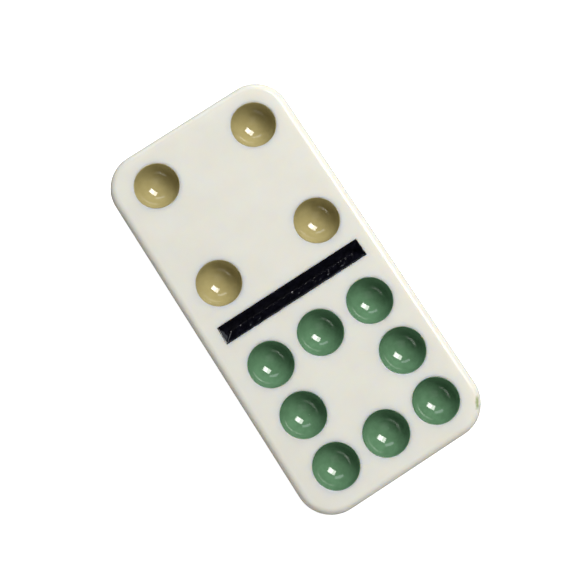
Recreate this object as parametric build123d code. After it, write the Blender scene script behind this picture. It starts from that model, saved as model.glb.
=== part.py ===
from build123d import *
import os

# Domino tile, four pips over eight: a moulded resin tile with enamelled bowl-shaped pips and a
# centre bar. Millimetres. The tile lies face up: +Z leaves the pip face, +Y points to the
# four-pip half, and the origin is the centre of the underside.

# Tile
TILE_WIDTH = 25.2
TILE_LENGTH = 51.1
TILE_THICKNESS = 9.5
CORNER_RADIUS = 4.5  # in plan
EDGE_RADIUS = 1.0  # tumbled edges round both faces

# Pips: each half has a grid of three by three places, which the jig of that half sets
PIP_RADIUS = 2.87  # at the pip face
PIP_DEPTH = 2.67  # the ball-nosed cutter stops just short of its widest
PITCH_ACROSS = 7.12
FOUR_PITCH_ALONG = 7.23
EIGHT_PITCH_ALONG = 7.17
HALF_CENTRE = 13.09  # from the jigs' shared middle to the middle of each grid
JIG_SHIFT = (0.24, -0.05)  # the jigs' middle from the tile's middle

FOUR_PLACES = [(-1, 1), (1, 1), (-1, -1), (1, -1)]
EIGHT_PLACES = [(-1, 1), (0, 1), (1, 1), (-1, 0), (1, 0), (-1, -1), (0, -1), (1, -1)]

# Centre bar: a V groove with hipped ends
BAR_LENGTH = 20.2
BAR_WIDTH = 2.36
BAR_DEPTH = 1.15
BAR_CENTRE = (0.05, 0.1)

# Enamel: a coat that is thin where it meets the face and pools at the bottom
PIP_COAT_AT_RIM = 0.08
PIP_COAT_AT_BOTTOM = 0.2
BAR_COAT_AT_RIM = 0.09
BAR_COAT_AT_BOTTOM = 0.2


def blank():
    """The plain tile before any recess is cut."""
    tile = Box(TILE_WIDTH, TILE_LENGTH, TILE_THICKNESS, align=(Align.CENTER, Align.CENTER, Align.MIN))
    tile = fillet(tile.edges().filter_by(Axis.Z), CORNER_RADIUS)
    faces_down_to_up = tile.faces().sort_by(Axis.Z)
    rims = faces_down_to_up[0].edges() + faces_down_to_up[-1].edges()
    return fillet(rims, EDGE_RADIUS)


def bowl(x, y, rim_radius, depth):
    """A spherical cap under the pip face, with its rim in the face."""
    ball_radius = (rim_radius**2 + depth**2) / (2 * depth)
    ball = Pos(x, y, TILE_THICKNESS - depth + ball_radius) * Sphere(ball_radius)
    room = Pos(x, y, TILE_THICKNESS) * Cylinder(
        2 * rim_radius, 2 * depth, align=(Align.CENTER, Align.CENTER, Align.MAX)
    )
    return ball & room


def pip_recess(x, y):
    return bowl(x, y, PIP_RADIUS, PIP_DEPTH)


def pip_enamel(x, y):
    """The enamel that lines one bowl."""
    inner_rim = PIP_RADIUS - PIP_COAT_AT_RIM
    inner_depth = PIP_DEPTH - PIP_COAT_AT_BOTTOM
    return pip_recess(x, y) - bowl(x, y, inner_rim, inner_depth)


def hipped_groove(length, width, depth):
    """A hipped roof turned over: four slopes that meet in a valley, open at the pip face."""
    end, side = length / 2, width / 2
    valley_end = end - side
    face, bottom = TILE_THICKNESS, TILE_THICKNESS - depth
    back_left, back_right = (-end, side, face), (end, side, face)
    front_left, front_right = (-end, -side, face), (end, -side, face)
    valley_left, valley_right = (-valley_end, 0, bottom), (valley_end, 0, bottom)
    outlines = [
        [back_left, back_right, front_right, front_left],
        [front_left, front_right, valley_right, valley_left],
        [back_right, back_left, valley_left, valley_right],
        [front_right, back_right, valley_right],
        [back_left, front_left, valley_left],
    ]
    faces = [Face(Wire.make_polygon(outline, close=True)) for outline in outlines]
    return Pos(*BAR_CENTRE, 0) * Solid(Shell(faces))


def bar_recess():
    return hipped_groove(BAR_LENGTH, BAR_WIDTH, BAR_DEPTH)


def bar_enamel():
    """The enamel that lines the centre groove."""
    inner_length = BAR_LENGTH - 2 * BAR_COAT_AT_RIM
    inner_width = BAR_WIDTH - 2 * BAR_COAT_AT_RIM
    return bar_recess() - hipped_groove(inner_length, inner_width, BAR_DEPTH - BAR_COAT_AT_BOTTOM)


def pip_centres(places, grid_middle, pitch_along):
    """Where one half's pips are, with that grid's middle on the tile's long axis at grid_middle."""
    shift_across, shift_along = JIG_SHIFT
    return [
        (shift_across + column * PITCH_ACROSS, shift_along + grid_middle + row * pitch_along)
        for column, row in places
    ]


def tile_body(centres):
    body = blank() - bar_recess()
    for x, y in centres:
        body -= pip_recess(x, y)
    return body


def main():
    four = pip_centres(FOUR_PLACES, HALF_CENTRE, FOUR_PITCH_ALONG)
    eight = pip_centres(EIGHT_PLACES, -HALF_CENTRE, EIGHT_PITCH_ALONG)

    parts = {"tile_body": tile_body(four + eight), "centre_bar": bar_enamel()}
    for number, (x, y) in enumerate(four, 1):
        parts[f"tan_pip_{number}"] = pip_enamel(x, y)
    for number, (x, y) in enumerate(eight, 1):
        parts[f"green_pip_{number}"] = pip_enamel(x, y)

    os.makedirs("parts", exist_ok=True)
    for name, shape in parts.items():
        export_step(shape, f"parts/{name}.step")
        print(f"{name}: {shape.volume:.3f} mm3, valid {shape.is_valid}")


main()
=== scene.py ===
from math import asin, cos, pi, radians, sin, sqrt

import bmesh
import bpy
from mathutils import Matrix, Vector, noise


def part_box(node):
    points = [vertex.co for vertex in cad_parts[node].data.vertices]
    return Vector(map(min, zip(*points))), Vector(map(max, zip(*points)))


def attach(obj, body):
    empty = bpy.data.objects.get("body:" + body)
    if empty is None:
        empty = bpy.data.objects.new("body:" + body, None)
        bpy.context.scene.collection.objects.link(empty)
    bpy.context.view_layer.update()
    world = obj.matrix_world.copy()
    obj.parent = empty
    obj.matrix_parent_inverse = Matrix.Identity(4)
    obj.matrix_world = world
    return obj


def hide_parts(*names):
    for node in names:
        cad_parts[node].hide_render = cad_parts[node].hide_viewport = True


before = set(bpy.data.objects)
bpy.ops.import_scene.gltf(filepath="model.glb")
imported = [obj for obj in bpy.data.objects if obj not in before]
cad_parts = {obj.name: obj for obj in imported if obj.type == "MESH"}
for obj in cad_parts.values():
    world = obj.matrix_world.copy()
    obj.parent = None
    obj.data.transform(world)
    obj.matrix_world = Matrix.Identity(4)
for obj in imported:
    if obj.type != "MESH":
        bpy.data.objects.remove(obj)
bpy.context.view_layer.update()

mm = 0.001
weldReach = 0.002 * mm  # points nearer than this are one point
tileLow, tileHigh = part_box("tile_body")
faceHeight = tileHigh.z
noise.seed_set(12)  # the bar's edges wander the same way every time
tanPips = sorted(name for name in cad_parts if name.startswith("tan_pip"))
greenPips = sorted(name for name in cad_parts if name.startswith("green_pip"))
print("tile", [round(v / mm, 2) for v in tileHigh - tileLow], "mm,", len(tanPips + greenPips), "pips")

# the camera looks down on the tile, leaning a little towards the eight
cameraSet = {
    "lens": 52.0,
    "aim": Vector((-0.06 * mm, 0.36 * mm, faceHeight)),
    "lean": Vector((-0.0421, -0.1058, 0.9935)),
    "distance": 101.9 * mm,
    "turn": -32.99,  # degrees between the tile's width and the picture's right
}


def makeCamera():
    towards = cameraSet["lean"].normalized()
    turn = radians(cameraSet["turn"])
    right = Vector((cos(turn), sin(turn), 0))
    right = (right - towards * right.dot(towards)).normalized()
    up = towards.cross(right)
    data = bpy.data.cameras.new("camera")
    data.lens = cameraSet["lens"]
    data.clip_start = 0.005
    camera = bpy.data.objects.new("camera", data)
    bpy.context.scene.collection.objects.link(camera)
    place = cameraSet["aim"] + towards * cameraSet["distance"]
    camera.matrix_world = Matrix.Translation(place) @ Matrix((right, up, towards)).transposed().to_4x4()
    bpy.context.scene.camera = camera


# a soft window at the tile's right with one brighter pane, a far one behind it, and weak light from the room
windowSet = {
    "window": {"from": (0.54, 0.175, 0.823), "distance": 0.6, "size": (0.43, 0.265), "power": 3.3,
               "roll": 7, "shift": 0, "colour": (1.0, 0.98, 0.94)},
    "pane": {"from": (0.54, 0.175, 0.823), "distance": 0.595, "size": (0.19, 0.2), "power": 0.88,
             "roll": 7, "shift": -0.06, "colour": (1.0, 0.98, 0.94)},
    "farWindow": {"from": (0.25, 0.86, 0.44), "distance": 0.6, "size": (0.42, 0.26), "power": 0.66,
                  "roll": 0, "shift": 0, "colour": (0.9, 0.96, 1.0)},
    "lowWall": {"from": (1, 0.1, 0.14), "distance": 0.6, "size": (0.3, 0.1), "power": 0.1,
                "roll": 0, "shift": 0, "colour": (0.85, 0.94, 1.0)},
    "ceiling": {"from": (-0.2, -0.5, 0.8), "distance": 0.6, "size": (0.4, 0.4), "power": 0.115,
                "roll": 0, "shift": 0, "colour": (1.0, 0.99, 0.97)},
    "sideFill": {"from": (-0.78, -0.6, 0.14), "distance": 0.6, "size": (0.34, 0.2), "power": 0.95,
                 "roll": 0, "shift": 0, "colour": (1.0, 0.98, 0.95), "mirrored": False},
}

skySet = {"colour": (0.93, 0.95, 1.0), "strength": 0.95}


def makeWindow(name):
    values = windowSet[name]
    data = bpy.data.lights.new(name, "AREA")
    data.shape = "RECTANGLE"
    data.size, data.size_y = values["size"]
    data.energy = values["power"]
    data.color = values["colour"]
    light = bpy.data.objects.new(name, data)
    bpy.context.scene.collection.objects.link(light)
    towards = Vector(values["from"]).normalized()
    across = Vector((0, 0, 1)).cross(towards).normalized()
    across = Matrix.Rotation(radians(values["roll"]), 3, towards) @ across
    up = towards.cross(across)
    place = Vector((0, 0, faceHeight)) + towards * values["distance"] + across * values["shift"]
    light.matrix_world = Matrix.Translation(place) @ Matrix((across, up, towards)).transposed().to_4x4()
    light.visible_glossy = values.get("mirrored", True)  # the fill has nothing for the enamel to mirror


def makeSky():
    world = bpy.data.worlds.new("sky")
    world.use_nodes = True
    background = world.node_tree.nodes["Background"]
    background.inputs["Color"].default_value = (*skySet["colour"], 1)
    background.inputs["Strength"].default_value = skySet["strength"]
    world.cycles_visibility.diffuse = False  # the windows light the tile, not the sky behind it
    world.cycles_visibility.glossy = False
    bpy.context.scene.world = world


def newMaterial(name):
    material = bpy.data.materials.new(name)
    material.use_nodes = True
    return material, material.node_tree, material.node_tree.nodes["Principled BSDF"]


def addNode(tree, kind, inputs=None, **settings):
    node = tree.nodes.new("ShaderNode" + kind)
    for key, value in settings.items():
        setattr(node, key, value)
    for key, value in (inputs or {}).items():
        if isinstance(value, bpy.types.NodeSocket):
            tree.links.new(value, node.inputs[key])
        else:
            node.inputs[key].default_value = value
    return node


def inMillimetres(tree, turn=(0, 0, 0), stretch=(1, 1, 1)):
    # object coordinates in mm, turned and stretched where a pattern has a direction
    coordinates = addNode(tree, "TexCoord").outputs["Object"]
    scale = tuple(each / mm for each in stretch)
    values = {"Vector": coordinates, "Rotation": turn, "Scale": scale}
    return addNode(tree, "Mapping", values).outputs["Vector"]


def noiseAt(tree, vector, scale, detail=2.0, roughness=0.5):
    values = {"Vector": vector, "Scale": scale, "Detail": detail, "Roughness": roughness}
    return addNode(tree, "TexNoise", values).outputs["Fac"]


def spread(tree, value, low, high, toLow, toHigh):
    values = {"Value": value, "From Min": low, "From Max": high, "To Min": toLow, "To Max": toHigh}
    return addNode(tree, "MapRange", values).outputs["Result"]


def calculate(tree, operation, first, second):
    return addNode(tree, "Math", {0: first, 1: second}, operation=operation).outputs["Value"]


def blendColours(tree, factor, first, second):
    node = addNode(tree, "Mix", data_type="RGBA")
    for socket, value in (("Factor_Float", factor), ("A_Color", first), ("B_Color", second)):
        target = next(s for s in node.inputs if s.identifier == socket)
        if isinstance(value, bpy.types.NodeSocket):
            tree.links.new(value, target)
        else:
            target.default_value = (*value, 1)
    return next(s for s in node.outputs if s.identifier == "Result_Color")


def bumpFrom(tree, height, distance, strength=1.0, under=None):
    values = {"Height": height, "Distance": distance, "Strength": strength}
    if under:
        values["Normal"] = under
    return addNode(tree, "Bump", values).outputs["Normal"]


def specks(tree, vector, perMillimetre, size, kept):
    # sparse round specks of a size in mm, in only the share kept of all cells
    cells = addNode(tree, "TexVoronoi", {"Vector": vector, "Scale": perMillimetre})
    lucky = addNode(tree, "SeparateColor", {"Color": cells.outputs["Color"]}).outputs["Red"]
    chosen = calculate(tree, "LESS_THAN", lucky, kept)
    reach = size * perMillimetre
    inside = spread(tree, cells.outputs["Distance"], reach, reach * 0.6, 0, 1)
    return calculate(tree, "MULTIPLY", inside, chosen)


resinSet = {
    "light": (0.812, 0.813, 0.766),
    "dark": (0.798, 0.793, 0.741),
    "cloudScale": 0.22,  # per mm, like every scale below
    "grime": (0.42, 0.38, 0.3),
    "grimeScale": 1.1,
    "grimeShare": (0.05, 0.2),  # on the worn rims
    "pits": (0.35, 0.045, 0.16),  # cells per mm, size in mm, share of cells
    "pitShade": 0.7,
    "bleed": 1.4 * mm,  # how far light spreads under the surface
    "bleedColours": (1.0, 0.85, 0.6),
    "index": 1.39,
    "roughness": (0.13, 0.2),
    "handledScale": 0.5,
    "scratches": ((24, (0.5, 14, 1), (0.62, 0.75)),  # turn, stretch, limits
                  (-52, (0.4, 11, 1), (0.64, 0.78))),
    "scratchDepth": 0.0012 * mm,
    "scratchRoughness": 0.12,
    "rubRoughness": 0.16,
    "waveScale": 0.45,
    "waveDepth": 0.012 * mm,
}

# lengths in mm, measured from the middle of the corner's arc
smearSet = {
    "colour": (0.3, 0.37, 0.16),
    "cover": 0.9,
    "out": 3.92,
    "along": 0.2,
    "direction": (0.59, 0.81, 0),
    "halfWidth": (0.1, 0.32),  # full colour up to the first, none past the second
    "halfLength": (0.4, 0.95),
    "raggedScale": 1.6,
    "ragged": 0.09,
}


def distanceFrom(tree, value, middle):
    off = calculate(tree, "SUBTRACT", value, middle)
    return addNode(tree, "Math", {0: off}, operation="ABSOLUTE").outputs[0]


def smearMask(tree):
    # a smear of paint round the corner at the eight's right
    corner = Vector((tileHigh.x, tileLow.y, 0)) + Vector((-1, 1, 0)) * bodySet["planCorner"]
    place = inMillimetres(tree)
    place = addNode(tree, "VectorMath", {0: place, 1: corner / mm}, operation="SUBTRACT").outputs[0]
    flat = addNode(tree, "VectorMath", {0: place, 1: (1, 1, 0)}, operation="MULTIPLY").outputs[0]
    out = addNode(tree, "VectorMath", {0: flat}, operation="LENGTH").outputs["Value"]
    along = addNode(tree, "VectorMath", {0: flat, 1: smearSet["direction"]}, operation="DOT_PRODUCT")
    patches = noiseAt(tree, inMillimetres(tree), smearSet["raggedScale"], 4.0, 0.6)
    ragged = spread(tree, patches, 0.3, 0.7, -smearSet["ragged"], smearSet["ragged"])
    offLine = distanceFrom(tree, out, smearSet["out"])
    offMiddle = distanceFrom(tree, along.outputs["Value"], smearSet["along"])
    wide = spread(tree, calculate(tree, "ADD", offLine, ragged), *smearSet["halfWidth"], 1, 0)
    longways = spread(tree, calculate(tree, "ADD", offMiddle, ragged), *smearSet["halfLength"], 1, 0)
    side = addNode(tree, "SeparateXYZ", {"Vector": place})
    thisCorner = calculate(tree, "MULTIPLY", calculate(tree, "GREATER_THAN", side.outputs["X"], 0),
                           calculate(tree, "LESS_THAN", side.outputs["Y"], 0))
    return calculate(tree, "MULTIPLY", calculate(tree, "MULTIPLY", wide, longways), thisCorner)


def scratchLines(tree, turn, stretch, limits):
    lines = noiseAt(tree, inMillimetres(tree, (0, 0, radians(turn)), stretch), 1.0, 3.0)
    return spread(tree, lines, *limits, 0, 1)


def tileResin():
    material, tree, shader = newMaterial("tileResin")
    place = inMillimetres(tree)
    cloud = spread(tree, noiseAt(tree, place, resinSet["cloudScale"], 3.0), 0.35, 0.65, 0, 1)
    colour = blendColours(tree, cloud, resinSet["light"], resinSet["dark"])
    pits = calculate(tree, "MULTIPLY", specks(tree, place, *resinSet["pits"]), resinSet["pitShade"])
    colour = blendColours(tree, pits, colour, resinSet["grime"])
    rub = addNode(tree, "Attribute", attribute_name="rub").outputs["Fac"]
    patches = noiseAt(tree, place, resinSet["grimeScale"], 5.0, 0.7)
    worn = calculate(tree, "MULTIPLY", rub, spread(tree, patches, 0.4, 0.75, *resinSet["grimeShare"]))
    colour = blendColours(tree, worn, colour, resinSet["grime"])
    smear = smearMask(tree)
    covered = calculate(tree, "MULTIPLY", smear, smearSet["cover"])
    colour = blendColours(tree, covered, colour, smearSet["colour"])
    tree.links.new(colour, shader.inputs["Base Color"])

    scratches = calculate(tree, "MAXIMUM", *(scratchLines(tree, *each) for each in resinSet["scratches"]))
    handled = noiseAt(tree, place, resinSet["handledScale"], 4.0, 0.6)
    roughness = spread(tree, handled, 0.3, 0.7, *resinSet["roughness"])
    for wear, added in ((scratches, resinSet["scratchRoughness"]), (rub, resinSet["rubRoughness"])):
        roughness = calculate(tree, "ADD", roughness, calculate(tree, "MULTIPLY", wear, added))
    tree.links.new(roughness, shader.inputs["Roughness"])
    waves = bumpFrom(tree, noiseAt(tree, place, resinSet["waveScale"], 2.0), resinSet["waveDepth"])
    unscratched = calculate(tree, "SUBTRACT", 1.0, scratches)
    normal = bumpFrom(tree, unscratched, resinSet["scratchDepth"], under=waves)
    tree.links.new(normal, shader.inputs["Normal"])

    # the smear lies on top, so no light spreads under it
    tree.links.new(calculate(tree, "SUBTRACT", 1.0, smear), shader.inputs["Subsurface Weight"])
    shader.inputs["IOR"].default_value = resinSet["index"]
    shader.inputs["Subsurface Radius"].default_value = resinSet["bleedColours"]
    shader.inputs["Subsurface Scale"].default_value = resinSet["bleed"]
    return material


enamelSet = {
    "tanEnamel": {"light": (0.417, 0.362, 0.17), "dark": (0.38, 0.326, 0.147),
                  "dust": (0.66, 0.62, 0.48)},
    "greenEnamel": {"light": (0.126, 0.256, 0.146), "dark": (0.102, 0.212, 0.117),
                    "dust": (0.34, 0.48, 0.36)},
    "index": 1.68,
    "roughness": (0.05, 0.09),
    "poolScale": 0.8,
    "dullScale": 1.3,
    "specks": (1.1, 0.05, 0.12),  # cells per mm, size in mm, share of cells
    "speckShade": 0.7,
    "speckRoughness": 0.2,
    "speckHeight": 0.01 * mm,
    "peelScale": 2.6,
    "peelDepth": 0.0016 * mm,
}


def pipEnamel(name):
    material, tree, shader = newMaterial(name)
    tones = enamelSet[name]
    place = inMillimetres(tree)
    pooled = spread(tree, noiseAt(tree, place, enamelSet["poolScale"], 4.0, 0.6), 0.35, 0.65, 0, 1)
    colour = blendColours(tree, pooled, tones["light"], tones["dark"])
    dust = specks(tree, place, *enamelSet["specks"])
    shade = calculate(tree, "MULTIPLY", dust, enamelSet["speckShade"])
    colour = blendColours(tree, shade, colour, tones["dust"])
    tree.links.new(colour, shader.inputs["Base Color"])
    patches = noiseAt(tree, place, enamelSet["dullScale"], 5.0, 0.65)
    dull = spread(tree, patches, 0.35, 0.7, *enamelSet["roughness"])
    dusty = calculate(tree, "MULTIPLY", dust, enamelSet["speckRoughness"])
    tree.links.new(calculate(tree, "ADD", dull, dusty), shader.inputs["Roughness"])
    peel = bumpFrom(tree, noiseAt(tree, place, enamelSet["peelScale"], 2.0), enamelSet["peelDepth"])
    bits = bumpFrom(tree, dust, enamelSet["speckHeight"], under=peel)
    tree.links.new(bits, shader.inputs["Normal"])
    shader.inputs["IOR"].default_value = enamelSet["index"]
    return material


blackSet = {
    "light": (0.006, 0.006, 0.011),
    "dark": (0.002, 0.002, 0.0035),
    "blotchScale": 1.6,
    "index": 1.55,
    "roughness": (0.03, 0.1),
    "dullScale": 2.4,
    "gritScale": 5.0,
    "gritDepth": 0.008 * mm,
}


def blackEnamel():
    material, tree, shader = newMaterial("blackEnamel")
    place = inMillimetres(tree)
    blotches = spread(tree, noiseAt(tree, place, blackSet["blotchScale"], 5.0, 0.65), 0.4, 0.65, 0, 1)
    colour = blendColours(tree, blotches, blackSet["dark"], blackSet["light"])
    tree.links.new(colour, shader.inputs["Base Color"])
    patches = noiseAt(tree, place, blackSet["dullScale"], 4.0, 0.6)
    tree.links.new(spread(tree, patches, 0.35, 0.65, *blackSet["roughness"]), shader.inputs["Roughness"])
    grit = bumpFrom(tree, noiseAt(tree, place, blackSet["gritScale"], 4.0, 0.7), blackSet["gritDepth"])
    tree.links.new(grit, shader.inputs["Normal"])
    shader.inputs["IOR"].default_value = blackSet["index"]
    return material


def finishPiece(bm, name, material):
    bmesh.ops.remove_doubles(bm, verts=bm.verts, dist=weldReach)
    bmesh.ops.recalc_face_normals(bm, faces=bm.faces)
    if bm.calc_volume(signed=True) < 0:  # a thin bent shell can come out of that inside out
        bmesh.ops.reverse_faces(bm, faces=bm.faces)
    for face in bm.faces:
        face.smooth = True
    mesh = bpy.data.meshes.new(name)
    bm.to_mesh(mesh)
    openEdges = sum(1 for edge in bm.edges if len(edge.link_faces) != 2)
    print(name, len(bm.verts), "points", len(bm.faces), "faces", openEdges, "open edges")
    bm.free()
    mesh.materials.append(material)
    piece = bpy.data.objects.new(name, mesh)
    bpy.context.scene.collection.objects.link(piece)
    return piece


def spinProfile(bm, profile, x, y, steps):
    # the profile is a row of (radius, height)
    verts = [bm.verts.new((x + r, y, z)) for r, z in profile]
    edges = [bm.edges.new(pair) for pair in zip(verts, verts[1:])]
    bmesh.ops.spin(bm, geom=verts + edges, cent=(x, y, 0), axis=(0, 0, 1), dvec=(0, 0, 0),
                   angle=2 * pi, steps=steps, use_merge=True, use_duplicate=False)


def pipOf(node):
    low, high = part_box(node)
    return (low.x + high.x) / 2, (low.y + high.y) / 2, (high.x - low.x) / 2, high.z - low.z


def bowlShape(rim, depth):
    # ball radius, and how high the ball's middle is over the face
    ball = (rim * rim + depth * depth) / (2 * depth)
    return ball, ball - depth


def lipRadius(rim, depth):
    # how far out the lip starts
    ball, above = bowlShape(rim, depth)
    lip = bodySet["lip"]
    return sqrt((ball + lip) ** 2 - (above + lip) ** 2)


def lipTurn(rim, depth):
    # where the lip runs into the bowl, as an angle from straight down
    return asin(lipRadius(rim, depth) / (bowlShape(rim, depth)[0] + bodySet["lip"]))


def lipCurve(rim, depth):
    lip, out, turn, steps = bodySet["lip"], lipRadius(rim, depth), lipTurn(rim, depth), bodySet["lipSteps"]
    turns = [turn * step / steps for step in range(steps)]
    return [(out - lip * sin(t), faceHeight - lip + lip * cos(t)) for t in turns]


def bowlCurve(rim, depth):
    # from the lip down to the bottom
    (ball, above), turn, rings = bowlShape(rim, depth), lipTurn(rim, depth), bodySet["bowlRings"]
    turns = [turn * (1 - ring / rings) for ring in range(rings + 1)]
    return [(ball * sin(t), faceHeight + above - ball * cos(t)) for t in turns]


bodySet = {
    "planCorner": 4.5 * mm,
    "edge": 1.02 * mm,
    "cornerSteps": 24,
    "edgeSteps": 12,
    "apron": 0.08 * mm,  # flat ring outside each lip
    "lip": 0.08 * mm,
    "lipSteps": 4,
    "pipSteps": 96,
    "bowlRings": 28,
    "rubGain": 3.5,  # how soon a rounded rim counts as worn
}

pipSet = {
    "coat": 0.06 * mm,  # thickness at the lip
    "pool": 0.18 * mm,  # thickness at the bottom
    "unevenness": 0.011 * mm,
    "lump": 1.3 * mm,
    "wet": 0.003 * mm,  # the back of a coat stands this far off the resin
    "still": 0.5 * mm,  # the unevenness dies out over this height below the lip
}

barSet = {
    "cell": 0.08 * mm,
    "softness": 0.18 * mm,
    "wobble": 0.03 * mm,
    "wave": 0.9 * mm,
    "coat": 0.09 * mm,
    "pool": 0.2 * mm,
    "lumps": ((0.055 * mm, 0.62 * mm), (0.034 * mm, 0.3 * mm)),  # height and width of each size of lump
    "still": 0.4 * mm,  # the lumps die out over this depth
    "margin": 2,  # flat cells round the groove
}


def smallerOf(a, b, softness):
    # the smaller of two lengths, with the corner between them rounded
    h = max(softness - abs(a - b), 0) / softness
    return min(a, b) - h * h * softness / 4


def grooveDepth(x, y, halfLength, halfWidth, depth):
    # depth of the hipped groove at a place measured from the bar's middle
    side, end = halfWidth - abs(y), halfLength - abs(x)
    slope = smallerOf(max(side, 0), max(end, 0), barSet["softness"])
    valley = barSet["softness"] / 2
    reach = smallerOf(slope, halfWidth - valley / 2, valley)
    return depth * max(reach, 0) / halfWidth


def wobbled(x, y):
    shake = noise.noise_vector(Vector((x, y, 0)) / barSet["wave"]) * barSet["wobble"]
    return x + shake.x, y + shake.y


def grooveGrid(bm, margin):
    # a grid over the bar's recess, with a flat margin of whole cells
    low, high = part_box("centre_bar")
    length, width, depth = high - low
    columns, rows = round(length / barSet["cell"]), round(width / barSet["cell"])
    made = bmesh.ops.create_grid(bm, x_segments=columns + 2 * margin, y_segments=rows + 2 * margin, size=0.5)
    stretch = Vector((length * (1 + 2 * margin / columns), width * (1 + 2 * margin / rows), 1))
    bmesh.ops.scale(bm, vec=stretch, verts=made["verts"])
    return made["verts"], (low + high) / 2, length / 2, width / 2, depth, high.z


def makeBody():
    bm = bmesh.new()
    size = tileHigh - tileLow
    bmesh.ops.create_cube(bm, size=1)
    bmesh.ops.scale(bm, vec=size, verts=bm.verts)
    bmesh.ops.translate(bm, vec=(tileHigh + tileLow) / 2, verts=bm.verts)
    upright = [e for e in bm.edges if abs(e.verts[0].co.z - e.verts[1].co.z) > size.z / 2]
    bmesh.ops.bevel(bm, geom=upright, offset=bodySet["planCorner"], offset_type="OFFSET", affect="EDGES",
                    segments=bodySet["cornerSteps"], profile=0.5, material=-1)
    rims = [e for e in bm.edges if abs(e.verts[0].co.z - e.verts[1].co.z) < mm / 10]
    bmesh.ops.bevel(bm, geom=rims, offset=bodySet["edge"], offset_type="OFFSET", affect="EDGES",
                    segments=bodySet["edgeSteps"], profile=0.5, material=-1)
    flats = [f for f in bm.faces if len(f.verts) > 4]
    bmesh.ops.inset_individual(bm, faces=flats, thickness=bodySet["apron"], use_even_offset=True)
    top = [f for f in bm.faces if len(f.verts) > 4 and f.calc_center_median().z > size.z * 0.9]
    bmesh.ops.delete(bm, geom=top, context="FACES_ONLY")

    for node in tanPips + greenPips:
        x, y, rim, depth = pipOf(node)
        apron = [(lipRadius(rim, depth) + bodySet["apron"], faceHeight)]
        spinProfile(bm, apron + lipCurve(rim, depth) + bowlCurve(rim, depth), x, y, bodySet["pipSteps"])
    verts, middle, halfLength, halfWidth, depth, top = grooveGrid(bm, barSet["margin"])
    for vert in verts:
        x, y = vert.co.x, vert.co.y
        drop = grooveDepth(x, y, halfLength, halfWidth, depth)
        inside = abs(x) < halfLength + barSet["cell"] and abs(y) < halfWidth + barSet["cell"]
        x, y = wobbled(x, y) if inside else (x, y)
        vert.co = (middle.x + x, middle.y + y, top - drop)
    bmesh.ops.remove_doubles(bm, verts=bm.verts, dist=weldReach)
    openEdges = [e for e in bm.edges if len(e.link_faces) == 1]
    bmesh.ops.triangle_fill(bm, use_beauty=True, use_dissolve=False, edges=openEdges, normal=(0, 0, 1))
    rub = bm.verts.layers.float.new("rub")
    bm.normal_update()
    for vert in bm.verts:
        flatness = max(abs(vert.normal.x), abs(vert.normal.y), abs(vert.normal.z))
        onRim = min(vert.co.z, size.z - vert.co.z) < bodySet["edge"]
        vert[rub] = min(1, (1 - flatness) * bodySet["rubGain"]) if onRim else 0
    body = finishPiece(bm, "tileBody", resin)
    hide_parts("tile_body")
    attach(body, "root")
    return body


def makePip(node, material):
    x, y, rim, depth = pipOf(node)
    back = bowlCurve(rim - pipSet["wet"], depth - pipSet["wet"])
    front = bowlCurve(rim - pipSet["coat"], depth - pipSet["pool"])
    bm = bmesh.new()
    spinProfile(bm, list(reversed(front)) + back, x, y, bodySet["pipSteps"])
    middle = Vector((x, y, faceHeight))
    for vert in bm.verts:
        out = vert.co - middle
        inFront = depth - out.length > pipSet["coat"] / 2
        fade = min(1, (faceHeight - vert.co.z) / pipSet["still"])
        if inFront:
            vert.co += out.normalized() * noise.noise(vert.co / pipSet["lump"]) * pipSet["unevenness"] * fade
    piece = finishPiece(bm, node.replace("_pip_", "Pip"), material)
    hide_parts(node)
    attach(piece, "root")
    return piece


def lumpsAt(x, y):
    return sum(noise.noise(Vector((x, y, 0)) / width) * height for height, width in barSet["lumps"])


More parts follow.
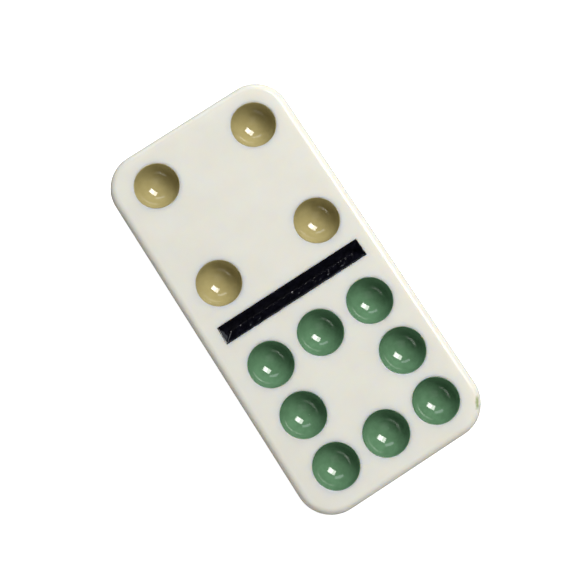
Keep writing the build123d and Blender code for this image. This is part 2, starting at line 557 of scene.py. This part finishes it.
def makeBar():
    bm = bmesh.new()
    front, middle, halfLength, halfWidth, depth, top = grooveGrid(bm, 0)
    made = bmesh.ops.extrude_face_region(bm, geom=bm.faces[:])
    back = {v for v in made["geom"] if isinstance(v, bmesh.types.BMVert)}
    coat, pool = barSet["coat"], barSet["pool"]
    for vert in bm.verts:
        x, y = vert.co.x, vert.co.y
        full = grooveDepth(x, y, halfLength, halfWidth, depth)
        drop = max(full - pipSet["wet"], 0)
        if vert not in back:
            drop = grooveDepth(x, y, halfLength - coat, halfWidth - coat, depth - pool)
            drop = min(max(drop + lumpsAt(x, y) * min(1, drop / barSet["still"]), 0), full)
        x, y = wobbled(x, y)
        vert.co = (middle.x + x, middle.y + y, top - drop)
    piece = finishPiece(bm, "centreBar", blackCoat)
    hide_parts("centre_bar")
    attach(piece, "root")
    return piece


floorSet = {
    "radius": 1.5,
    "paint": (0.9, 0.9, 0.9),
    "glow": 0.9,
    "bouncePaint": (0.08, 0.08, 0.08),
    "bounceGlow": 0.36,
    "under": 0.05 * mm,  # how far the hidden floor lies under the one that shows
    "roughness": 0.9,
}


def makeDisc(name, height, paint, glow):
    bm = bmesh.new()
    bmesh.ops.create_circle(bm, cap_ends=True, radius=floorSet["radius"], segments=96)
    bmesh.ops.translate(bm, vec=(0, 0, height), verts=bm.verts)
    mesh = bpy.data.meshes.new(name)
    bm.to_mesh(mesh)
    bm.free()
    disc = bpy.data.objects.new(name, mesh)
    bpy.context.scene.collection.objects.link(disc)
    material, tree, shader = newMaterial(name + "Paint")
    shader.inputs["Base Color"].default_value = (*paint, 1)
    shader.inputs["Roughness"].default_value = floorSet["roughness"]
    shader.inputs["Emission Color"].default_value = (1, 1, 1, 1)
    shader.inputs["Emission Strength"].default_value = glow
    mesh.materials.append(material)
    return disc


def makeFloor():
    # the floor that shows is bright all over; a duller one under it gives the tile its bounced light
    floor = makeDisc("floor", 0, floorSet["paint"], floorSet["glow"])
    floor.visible_diffuse = floor.visible_glossy = floor.visible_shadow = False
    bounce = makeDisc("bounceFloor", -floorSet["under"], floorSet["bouncePaint"], floorSet["bounceGlow"])
    bounce.visible_camera = bounce.visible_glossy = False


makeCamera()
makeSky()
for name in windowSet:
    makeWindow(name)
makeFloor()
print("camera, light and floor are set")

resin = tileResin()
tanCoat = pipEnamel("tanEnamel")
greenCoat = pipEnamel("greenEnamel")
blackCoat = blackEnamel()
print("finishes are mixed")

makeBody()
for node in tanPips:
    makePip(node, tanCoat)
for node in greenPips:
    makePip(node, greenCoat)
makeBar()
print("tile is made")

bpy.context.scene.view_settings.view_transform = "Standard"
